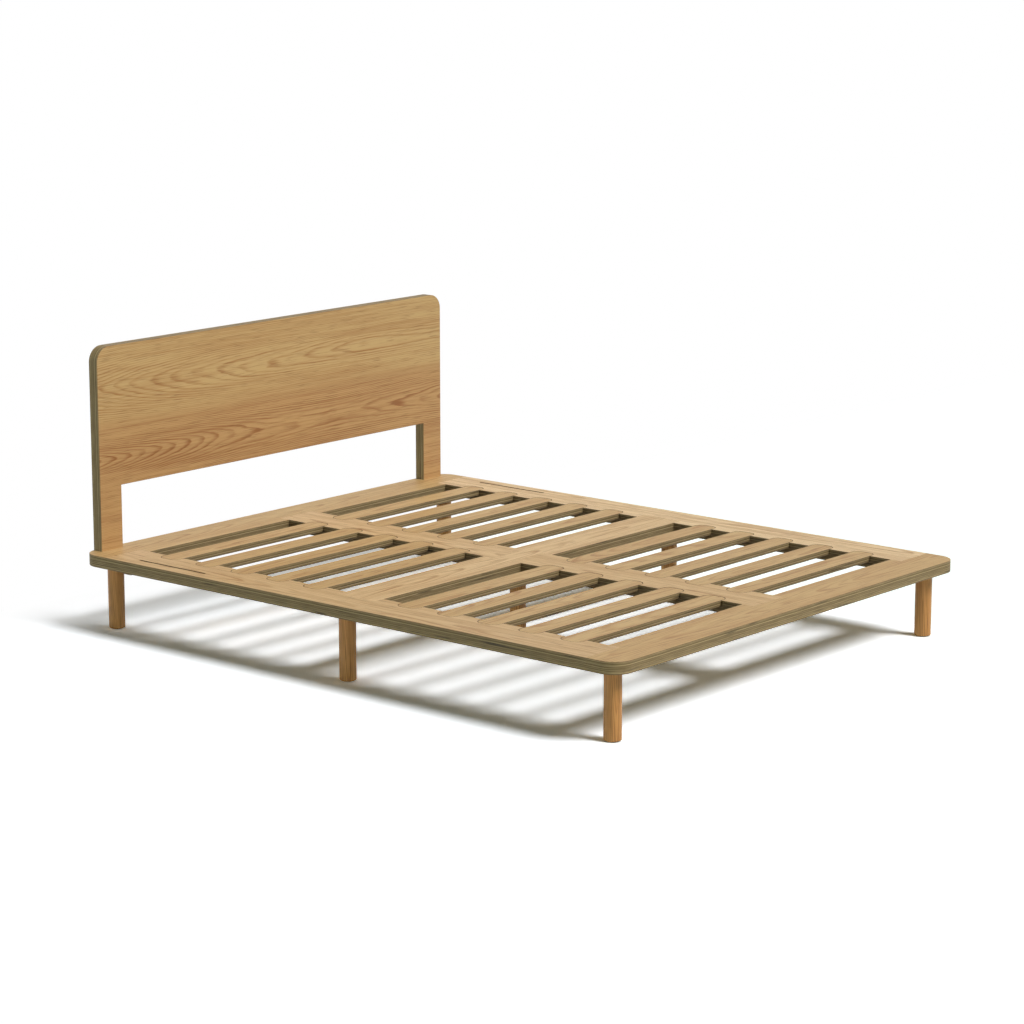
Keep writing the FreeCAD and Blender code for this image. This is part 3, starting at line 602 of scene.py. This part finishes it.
zinc = bright_metal("zinc_plated_steel", "#B8BBBE", 4, 0.28, 0.45)
brass = bright_metal("turned_brass", "#C79F55", 3, 0.22, 0.38)
dress("leg_studs", zinc)
for name in ("leg_inserts", "lap_inserts", "headboard_inserts"):
    dress(name, brass)
print("metals:", zinc.name, brass.name)


# %% Felt
# Pressed wool felt. The eye gets a matt dark disc of matted fibres, with no gloss and a soft pale
# rim.
def pressed_felt(name, hex_colour, hex_fibre, fibre_mm):
    """Felt with fibres of the given thickness."""
    material, tree = start_material(name)
    place = add(tree, "ShaderNodeTexCoord").outputs["Object"]
    fibres = add(tree, NOISE, {
        "Vector": place, "Scale": 1 / (fibre_mm * MM), "Detail": 5, "Distortion": 2,
    })
    shader = add(tree, "ShaderNodeBsdfPrincipled", {
        "Base Color": add(tree, MIX, {
            "Factor": fibres, "A": linear(hex_colour), "B": linear(hex_fibre),
        }, **COLOURS),
        "Roughness": 0.95, "Sheen Weight": 0.3,
        "Normal": add(tree, "ShaderNodeBump", {
            "Strength": 0.6, "Distance": 0.3 * MM, "Height": fibres,
        }),
    })
    add(tree, "ShaderNodeOutputMaterial", {"Surface": shader})
    return material


# A fibre is drawn many times thicker than wool, so that the nap shows
felt = pressed_felt("pressed_wool_felt", "#4A443D", "#8A8178", 1.2)
print("felt:", felt.name)

# %% [markdown]
# ## Pieces that repeat
#
# The slats and the fixings repeat, so Geometry Nodes make them: a tree states the rule once, and
# its named inputs hold the sizes. Copying twenty slats by hand would do as well for one picture,
# but a change of size would have to be made twenty times. A body of the frame needs one plain mesh
# of its own, so the tree's result is turned into a mesh and the modifier taken off again.

# %% From a tree to a plain mesh
SHARP_ANGLE = math.radians(12)
ARRIS_STEPS = 3


def new_tree(name, inputs):
    """An empty geometry tree with named inputs and one geometry output."""
    tree = bpy.data.node_groups.new(name, "GeometryNodeTree")
    for label, kind in inputs.items():
        tree.interface.new_socket(name=label, in_out="INPUT", socket_type=f"NodeSocket{kind}")
    tree.interface.new_socket(name="Geometry", in_out="OUTPUT", socket_type="NodeSocketGeometry")
    return tree, add(tree, "NodeGroupInput").outputs


def grow(name, tree, inputs, points=(), arris=0.0):
    """Run a tree on some points, with an arris if one is given, and keep the plain mesh."""
    start = bpy.data.meshes.new(name)
    start.from_pydata([tuple(point) for point in points], [], [])
    piece = bpy.data.objects.new(name, start)
    bpy.context.scene.collection.objects.link(piece)
    rule = piece.modifiers.new("rule", "NODES")
    rule.node_group = tree
    for item in tree.interface.items_tree:
        if item.name in inputs:
            rule[item.identifier] = inputs[item.name]
    if arris:
        edge = piece.modifiers.new("arris", "BEVEL")
        edge.width = arris
        edge.segments = ARRIS_STEPS
        edge.limit_method = "ANGLE"
    shown = piece.evaluated_get(bpy.context.evaluated_depsgraph_get())
    piece.data = bpy.data.meshes.new_from_object(shown)
    piece.modifiers.clear()
    piece.data.name = name
    piece.data.set_sharp_from_angle(angle=SHARP_ANGLE)
    bpy.data.meshes.remove(start)
    return piece


print("edges are shaded sharp from", round(math.degrees(SHARP_ANGLE)), "degrees")

# %% [markdown]
# ## Slats
#
# A slat is a strip of the same plywood with rounded corners, which drops into its pockets. The tree
# draws one rounded outline, fills it, gives it thickness, and sets it on a row of points that lie
# one pitch apart. Each slat lifts out by itself, so Pick keeps one of the row for each body. Log
# Shift is stored on the mesh, and the material adds it to the place: every slat comes from another
# part of the log.

# %% The rule for a row of slats
SAME_PLACE = 0.01 * MM


def make_slat_tree():
    """One slat of a row: Pick is its number from the start of the row."""
    tree, given = new_tree("slat_row", {
        "Length": "Float", "Width": "Float", "Thickness": "Float", "Corner Radius": "Float",
        "Corner Steps": "Int", "Row Start": "Vector", "Pitch": "Vector", "Count": "Int",
        "Pick": "Int", "Log Shift": "Vector", "Material": "Material",
    })
    strip = add(tree, "GeometryNodeCurvePrimitiveQuadrilateral", {
        "Width": given["Length"], "Height": given["Width"],
    })
    rounded = add(tree, "GeometryNodeFilletCurve", {
        "Curve": strip, "Count": given["Corner Steps"], "Radius": given["Corner Radius"],
        "Limit Radius": True,
    }, mode="POLY")
    face = add(tree, "GeometryNodeFillCurve", {"Curve": rounded}, mode="NGONS")
    raised = add(tree, "GeometryNodeExtrudeMesh", {
        "Mesh": face, "Offset Scale": given["Thickness"], "Individual": False,
    })
    underside = add(tree, "GeometryNodeFlipFaces", {"Mesh": face})
    both = add(tree, "GeometryNodeJoinGeometry", {"Geometry": [raised, underside]})
    slat = add(tree, "GeometryNodeMergeByDistance", {"Geometry": both, "Distance": SAME_PLACE})
    row = add(tree, "GeometryNodeMeshLine", {
        "Count": given["Count"], "Start Location": given["Row Start"], "Offset": given["Pitch"],
    })
    other = add(tree, "FunctionNodeCompare", {
        "A": add(tree, "GeometryNodeInputIndex"), "B": given["Pick"],
    }, data_type="INT", operation="NOT_EQUAL")
    picked = add(tree, "GeometryNodeDeleteGeometry", {
        "Geometry": row, "Selection": other,
    }, domain="POINT")
    placed = add(tree, "GeometryNodeInstanceOnPoints", {"Points": picked, "Instance": slat})
    real = add(tree, "GeometryNodeRealizeInstances", {"Geometry": placed})
    shifted = add(tree, "GeometryNodeStoreNamedAttribute", {
        "Geometry": real, "Name": "log_shift", "Value": given["Log Shift"],
    }, data_type="FLOAT_VECTOR", domain="POINT")
    painted = add(tree, "GeometryNodeSetMaterial", {
        "Geometry": shifted, "Material": given["Material"],
    })
    add(tree, "NodeGroupOutput", {"Geometry": painted})
    return tree


slat_tree = make_slat_tree()
print("slat tree:", len(slat_tree.nodes), "nodes")

# %% Cut the twenty slats
SLATS_PER_BAY = 5
SLAT_CORNER = 25 * MM
SLAT_CORNER_STEPS = 10
SLAT_ARRIS = 1.5 * MM
# The slats' edge is drawn almost black: painted shade, the shadow in the narrow gap between each slat
# and its pocket.
SLAT_EDGE_SHADE = linear("#3A2817")
slat_low, slat_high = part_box("slat_foot_left_1")
slat_leaf = Leaf(middle=0, depth=70 * MM, slant=math.radians(1.2), bow=0, strength=0.7)
slat_ply = veneered_ply(
    "oak_ply_slats", "XYZ", (slat_high.z, slat_low.z), [slat_leaf], shifted=True, edge_tone_and_shade=SLAT_EDGE_SHADE,
)
shift_choice = random.Random(23)
for end in ("foot", "head"):
    for side in ("left", "right"):
        boxes = [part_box(f"slat_{end}_{side}_{number + 1}") for number in range(SLATS_PER_BAY)]
        middles = [(low + high) / 2 for low, high in boxes]
        low, high = boxes[0]
        for number, middle in enumerate(middles):
            node = f"slat_{end}_{side}_{number + 1}"
            shift = (shift_choice.uniform(-9, 9), shift_choice.uniform(-30, 30) * MM - middle.y, 0)
            slat = grow(f"oak_{node}", slat_tree, {
                "Length": high.x - low.x,
                "Width": high.y - low.y,
                "Thickness": high.z - low.z,
                "Corner Radius": SLAT_CORNER,
                "Corner Steps": SLAT_CORNER_STEPS,
                "Row Start": (middles[0].x, middles[0].y, low.z),
                "Pitch": middles[1] - middles[0],
                "Count": SLATS_PER_BAY,
                "Pick": number,
                "Log Shift": shift,
                "Material": slat_ply,
            }, arris=SLAT_ARRIS)
            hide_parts(node)
            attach(slat, node)
print("a slat has", len(slat.data.polygons), "faces, from", slat.data.vertices[0].co)

# %% [markdown]
# ## Fixings
#
# Bolts and screws differ only in their sizes, so one tree makes all of them: a head, a shank with a
# tapered end, and a hexagon socket cut out of the head. It stands one on each point that it is
# given. The points, the lengths and the heads' widths come from the solids that CAD put there.

# %% The rule for a fixing
HEAD_SIDES, SHANK_SIDES, SOCKET_SIDES = 40, 32, 6
# The tip starts inside the shank and a little thinner, so that no two of their faces coincide
LAP = 0.3 * MM
TIP_SHARE = 0.96


def make_fixing_tree():
    """A fixing along +Z from the face of its head, on every point."""
    tree, given = new_tree("fixings", {
        "Points": "Geometry", "Length": "Float",
        "Head Radius": "Float", "Neck Radius": "Float", "Head Height": "Float",
        "Shank Radius": "Float", "Tip Radius": "Float", "Tip Length": "Float",
        "Socket Radius": "Float", "Socket Depth": "Float",
        "Turn": "Rotation", "Material": "Material",
    })
    head = add(tree, "GeometryNodeMeshCone", {
        "Vertices": HEAD_SIDES, "Depth": given["Head Height"],
        "Radius Bottom": given["Head Radius"], "Radius Top": given["Neck Radius"],
    })
    # The shank starts halfway up the head
    start = add(tree, MATHS, {0: given["Head Height"], 1: 0.5}, operation="MULTIPLY")
    end = add(tree, MATHS, {0: given["Length"], 1: given["Tip Length"]}, operation="SUBTRACT")
    middle = add(tree, MATHS, {
        0: add(tree, MATHS, {0: start, 1: end}), 1: 0.5,
    }, operation="MULTIPLY")
    shank = add(tree, "GeometryNodeTransform", {
        "Geometry": add(tree, "GeometryNodeMeshCylinder", {
            "Vertices": SHANK_SIDES, "Radius": given["Shank Radius"],
            "Depth": add(tree, MATHS, {0: end, 1: start}, operation="SUBTRACT"),
        }),
        "Translation": add(tree, "ShaderNodeCombineXYZ", {"Z": middle}),
    })
    tip_start = add(tree, MATHS, {0: end, 1: LAP}, operation="SUBTRACT")
    tip = add(tree, "GeometryNodeTransform", {
        "Geometry": add(tree, "GeometryNodeMeshCone", {
            "Vertices": SHANK_SIDES, "Depth": add(tree, MATHS, {0: given["Tip Length"], 1: LAP}),
            "Radius Bottom": add(tree, MATHS, {
                0: given["Shank Radius"], 1: TIP_SHARE,
            }, operation="MULTIPLY"),
            "Radius Top": given["Tip Radius"],
        }),
        "Translation": add(tree, "ShaderNodeCombineXYZ", {"Z": tip_start}),
    })
    whole = add(tree, "GeometryNodeMeshBoolean", {
        "Mesh 2": [head, shank, tip],
    }, operation="UNION", solver="EXACT")
    hexagon = add(tree, "GeometryNodeMeshCylinder", {
        "Vertices": SOCKET_SIDES, "Radius": given["Socket Radius"],
        "Depth": add(tree, MATHS, {0: given["Socket Depth"], 1: 2}, operation="MULTIPLY"),
    })
    fixing = add(tree, "GeometryNodeMeshBoolean", {
        "Mesh 1": whole, "Mesh 2": hexagon,
    }, operation="DIFFERENCE", solver="EXACT")
    placed = add(tree, "GeometryNodeInstanceOnPoints", {
        "Points": given["Points"], "Instance": fixing, "Rotation": given["Turn"],
    })
    real = add(tree, "GeometryNodeRealizeInstances", {"Geometry": placed})
    painted = add(tree, "GeometryNodeSetMaterial", {
        "Geometry": real, "Material": given["Material"],
    })
    add(tree, "NodeGroupOutput", {"Geometry": painted})
    return tree


fixing_tree = make_fixing_tree()
print("fixing tree:", len(fixing_tree.nodes), "nodes")

# %% Where the fixings stand
SAME_CORNER = 0.001 * MM


def solid_boxes(node):
    """The lowest and highest corner of each separate solid in a CAD node."""
    shape = bmesh.new()
    shape.from_mesh(nodes[node].data)
    bmesh.ops.remove_doubles(shape, verts=shape.verts, dist=SAME_CORNER)
    left = set(shape.verts)
    boxes = []
    while left:
        reached = {left.pop()}
        waiting = list(reached)
        while waiting:
            vert = waiting.pop()
            for edge in vert.link_edges:
                other = edge.other_vert(vert)
                if other in left:
                    left.remove(other)
                    reached.add(other)
                    waiting.append(other)
        places = [vert.co for vert in reached]
        low = Vector([min(place[axis] for place in places) for axis in range(3)])
        high = Vector([max(place[axis] for place in places) for axis in range(3)])
        boxes.append((low, high))
    shape.free()
    return sorted(boxes, key=lambda box: tuple(box[0]))


print("lap bolts:", len(solid_boxes("lap_bolts")))

# %% Bolts and screws
def fit_fixings(name, node, sizes, heads_at_back=False):
    """Grow a node's fixings where its solids stand, as long and as wide as they are."""
    boxes = solid_boxes(node)
    low, high = boxes[0]
    points = []
    for corner, far_corner in boxes:
        middle = (corner + far_corner) / 2
        if heads_at_back:
            points.append((middle.x, far_corner.y, middle.z))
        else:
            points.append((middle.x, middle.y, corner.z))
    piece = grow(name, fixing_tree, {
        **sizes,
        "Length": high.y - low.y if heads_at_back else high.z - low.z,
        "Head Radius": (high.x - low.x) / 2,
        "Turn": (math.radians(90) if heads_at_back else 0, 0, 0),
        "Material": zinc,
    }, points)
    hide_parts(node)
    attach(piece, "bed_frame")
    print(name, len(points), "of them,", len(piece.data.polygons), "faces")


fit_fixings("countersunk_lap_bolts", "lap_bolts", {
    "Neck Radius": 2.9 * MM, "Head Height": 3.3 * MM, "Shank Radius": 3 * MM,
    "Tip Radius": 2.3 * MM, "Tip Length": 1.2 * MM,
    "Socket Radius": 2.3 * MM, "Socket Depth": 2 * MM,
})
fit_fixings("countersunk_stretcher_screws", "stretcher_screws", {
    "Neck Radius": 2.4 * MM, "Head Height": 3 * MM, "Shank Radius": 2.5 * MM,
    "Tip Radius": 0.2 * MM, "Tip Length": 5.2 * MM,
    "Socket Radius": 1.9 * MM, "Socket Depth": 1.8 * MM,
})
fit_fixings("cylinder_head_bolts", "headboard_bolts", {
    "Neck Radius": 8 * MM, "Head Height": 5 * MM, "Shank Radius": 4 * MM,
    "Tip Radius": 3.2 * MM, "Tip Length": 1.2 * MM,
    "Socket Radius": 3.4 * MM, "Socket Depth": 3 * MM,
}, heads_at_back=True)

# %% [markdown]
# ## Glides
#
# Under each leg a disc of pressed felt sits in a recess and stands two millimetres proud. Felt has
# no crisp edge, so the rule is a disc with many points, whose surface is drawn in by a fine noise.

# %% The rule for a felt glide
NAP = 0.2 * MM
NAP_SPACING = 2.5 * MM
GLIDE_SIDES, GLIDE_LAYERS, GLIDE_RINGS = 48, 5, 8


def make_glide_tree():
    """A felt disc on every point, from its underside up."""
    tree, given = new_tree("felt_glides", {
        "Points": "Geometry", "Radius": "Float", "Thickness": "Float", "Nap": "Float",
        "Material": "Material",
    })
    half = add(tree, MATHS, {0: given["Thickness"], 1: 0.5}, operation="MULTIPLY")
    disc = add(tree, "GeometryNodeTransform", {
        "Geometry": add(tree, "GeometryNodeMeshCylinder", {
            "Vertices": GLIDE_SIDES, "Side Segments": GLIDE_LAYERS, "Fill Segments": GLIDE_RINGS,
            "Radius": given["Radius"], "Depth": given["Thickness"],
        }),
        "Translation": add(tree, "ShaderNodeCombineXYZ", {"Z": half}),
    })
    placed = add(tree, "GeometryNodeInstanceOnPoints", {
        "Points": given["Points"], "Instance": disc,
    })
    real = add(tree, "GeometryNodeRealizeInstances", {"Geometry": placed})
    fuzz = add(tree, NOISE, {
        "Vector": add(tree, "GeometryNodeInputPosition"), "Scale": 1 / NAP_SPACING, "Detail": 2,
    })
    inward = add(tree, MATHS, {0: fuzz, 1: given["Nap"]}, operation="MULTIPLY")
    inward = add(tree, MATHS, {0: inward, 1: -1}, operation="MULTIPLY")
    push = add(tree, VECTORS, {
        0: add(tree, "GeometryNodeInputNormal"), "Scale": inward,
    }, operation="SCALE")
    napped = add(tree, "GeometryNodeSetPosition", {"Geometry": real, "Offset": push})
    smooth = add(tree, "GeometryNodeSetShadeSmooth", {"Geometry": napped})
    painted = add(tree, "GeometryNodeSetMaterial", {
        "Geometry": smooth, "Material": given["Material"],
    })
    add(tree, "NodeGroupOutput", {"Geometry": painted})
    return tree


glide_boxes = solid_boxes("leg_glides")
glide_points = [((low.x + high.x) / 2, (low.y + high.y) / 2, low.z) for low, high in glide_boxes]
low, high = glide_boxes[0]
glides = grow("felt_glides", make_glide_tree(), {
    "Radius": (high.x - low.x) / 2, "Thickness": high.z - low.z, "Nap": NAP, "Material": felt,
}, glide_points)
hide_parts("leg_glides")
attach(glides, "bed_frame")
print("glides:", len(glide_boxes), "discs")

# %% [markdown]
# ## Studio
#
# A catalogue picture stands on white with one soft shadow. A wide lamp high over the foot, a little
# to the right, draws the slats' shadows on the floor. The studio's walls glow near the floor, most
# on the left and behind, and its ceiling is dark, so upright faces get light and the shadow stays
# deep. The walls are a very pale green, which turns the shadow grey where the wood above would make
# it brown. Light Path tells a direct or a mirrored view from light on its way to a surface, so the
# white background shows to the camera and in a sheen, but doesn't light the wood. Behind the head
# the floor looks white, and in the bed's shadow it looks paler than around it, as if retouched, so
# that the light that falls between the slats shows.

# %% Lamp and world
KEY_DIRECTION = Vector((-0.235, 0.78, -1.0))
KEY_STRENGTH = 3.1
KEY_ANGLE = math.radians(26.5)
GLOW_FROM = (-0.894, 0.447, 0.0)
NEAR_GLOW, FAR_GLOW = 7.6, 3.15
GLOW_START, GLOW_END = 0.015, 0.135
CEILING_GLOW = 0.04
WALL_TINT = linear("#F1FFEB")


def seen_directly(tree):
    """1 for a ray from the camera, and for what metal and glass show of the background."""
    path = add(tree, "ShaderNodeLightPath").outputs
    seen = path["Is Camera Ray"]
    for ray in ("Is Glossy Ray", "Is Transmission Ray"):
        seen = add(tree, MATHS, {0: seen, 1: path[ray]}, operation="MAXIMUM")
    return seen


world = bpy.data.worlds.new("studio")
world.use_nodes = True
sky = world.node_tree
sky.nodes.clear()
towards = add(sky, "ShaderNodeTexCoord").outputs["Generated"]
nearness = add(sky, VECTORS, {0: towards, 1: GLOW_FROM}, operation="DOT_PRODUCT")
walls = add(sky, RANGE, {
    "Value": nearness, "From Min": -1, "To Min": FAR_GLOW, "To Max": NEAR_GLOW,
})
low_down = add(sky, RANGE, {
    "Value": add(sky, SPLIT, {0: towards}).outputs["Z"],
    "From Min": GLOW_START, "From Max": GLOW_END, "To Min": 1, "To Max": 0,
}, **SMOOTH)
glow = add(sky, MATHS, {0: walls, 1: low_down, 2: CEILING_GLOW}, operation="MULTIPLY_ADD")
backdrop = add(sky, "ShaderNodeMixShader", {
    0: seen_directly(sky),
    1: add(sky, "ShaderNodeBackground", {"Color": WALL_TINT, "Strength": glow}),
    2: add(sky, "ShaderNodeBackground", {"Color": WHITE, "Strength": 1}),
})
add(sky, "ShaderNodeOutputWorld", {"Surface": backdrop})
bpy.context.scene.world = world

key = bpy.data.objects.new("key", bpy.data.lights.new("key", "SUN"))
key.data.energy = KEY_STRENGTH
key.data.angle = KEY_ANGLE
key.rotation_euler = KEY_DIRECTION.to_track_quat("-Z", "Y").to_euler()
bpy.context.scene.collection.objects.link(key)
bpy.context.scene.view_settings.view_transform = "Standard"
print("key from", tuple(-KEY_DIRECTION), "walls", NEAR_GLOW, FAR_GLOW, "ceiling", CEILING_GLOW)

# %% The floor
FLOOR_REACH = 80.0
# Light bounces off the floor's own grey. Only a direct or a mirrored view shows the other two, which
# lie over 1 so that the lit floor burns out to white
FLOOR_ALBEDO = (0.28, 0.28, 0.28, 1.0)
FLOOR_AROUND = (1.24, 1.31, 1.28, 1.0)
# Inside the bed's shadow the floor is shown paler than around it: painted light that lifts the shadow
FLOOR_UNDER = (1.9, 1.97, 2.07, 1.0)
HALO = 120 * MM
# Behind the head the floor is shown as white light, which paints out the headboard's shadow
BURN_START, BURN_END = 0.9, 1.4
SHADOW_SHIFT = KEY_DIRECTION * (deck_low.z / -KEY_DIRECTION.z)
# The deck's shadow on the floor, and a halo round it, where the floor turns from under to around
shadow_low, shadow_high = cad_low + SHADOW_SHIFT, cad_high + SHADOW_SHIFT
BORDERS = (
    ("X", shadow_low.x - HALO, shadow_low.x),
    ("X", shadow_high.x + HALO, shadow_high.x),
    ("Y", shadow_low.y - HALO, shadow_low.y),
)

floor_mesh = bpy.data.meshes.new("floor")
corners = [(x * FLOOR_REACH, y * FLOOR_REACH, 0) for x, y in ((-1, -1), (1, -1), (1, 1), (-1, 1))]
floor_mesh.from_pydata(corners, [], [(0, 1, 2, 3)])
floor = bpy.data.objects.new("floor", floor_mesh)
bpy.context.scene.collection.objects.link(floor)
floor_paint, paint = start_material("matt_studio_floor")
spot = add(paint, "ShaderNodeTexCoord").outputs["Object"]
spot = add(paint, SPLIT, {0: spot}).outputs
under = 1.0
for axis, outside, inside in BORDERS:
    border = add(paint, RANGE, {
        "Value": spot[axis], "From Min": outside, "From Max": inside,
    }, **SMOOTH)
    under = add(paint, MATHS, {0: under, 1: border}, operation="MULTIPLY")
shown = add(paint, MIX, {"Factor": under, "A": FLOOR_AROUND, "B": FLOOR_UNDER}, **COLOURS)
seen = seen_directly(paint)
colour = add(paint, MIX, {"Factor": seen, "A": FLOOR_ALBEDO, "B": shown}, **COLOURS)
burn = add(paint, RANGE, {
    "Value": spot["Y"], "From Min": BURN_START, "From Max": BURN_END,
}, **SMOOTH)
surface = add(paint, "ShaderNodeMixShader", {
    0: add(paint, MATHS, {0: burn, 1: seen}, operation="MULTIPLY"),
    1: add(paint, "ShaderNodeBsdfDiffuse", {"Color": colour}),
    2: add(paint, "ShaderNodeEmission", {"Color": WHITE, "Strength": 1}),
})
add(paint, "ShaderNodeOutputMaterial", {"Surface": surface})
floor_mesh.materials.append(floor_paint)
floor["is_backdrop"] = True
print("shadow shift", tuple(round(c, 3) for c in SHADOW_SHIFT))

# %% [markdown]
# ## Size of the dressed bed
#
# The box round the dressed bed, over every shown piece but the floor, is printed at the end.

# %% Sizes and finish
low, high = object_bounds()
print("visual box", tuple(round(c, 4) for c in low), tuple(round(c, 4) for c in high))
